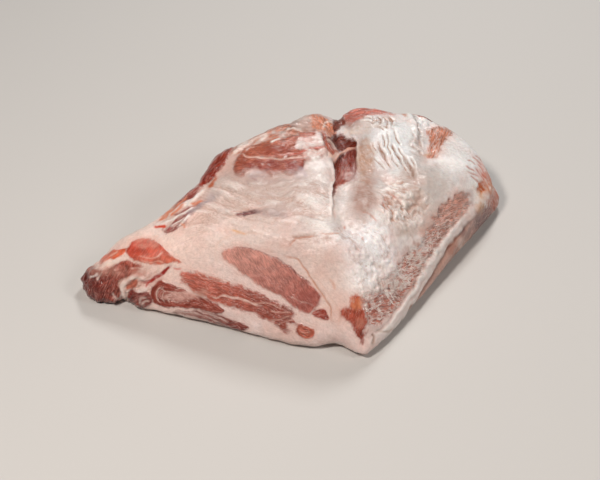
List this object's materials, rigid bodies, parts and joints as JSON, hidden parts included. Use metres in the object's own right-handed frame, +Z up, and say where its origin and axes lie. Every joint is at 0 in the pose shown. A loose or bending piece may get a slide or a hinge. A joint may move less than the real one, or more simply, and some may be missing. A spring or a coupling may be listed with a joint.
{
  "type": "pork collar",
  "caption": "Raw boneless pork collar: a thick block of neck and shoulder meat with a fat cap below, cut faces in front and an open seam on top.",
  "frame": {"origin": "under the middle of the block's bounding box, on the board it lies on", "axes": "+X along the length towards the right end, +Y towards the uncut back, +Z up from the fat cap to the seamed-out upper side"},
  "size_m": [0.3442, 0.2584, 0.0917],
  "materials": {
    "raw_pork": null
  },
  "bodies": {
    "root": {"pork_collar": "raw_pork"}
  },
  "joints": []
}
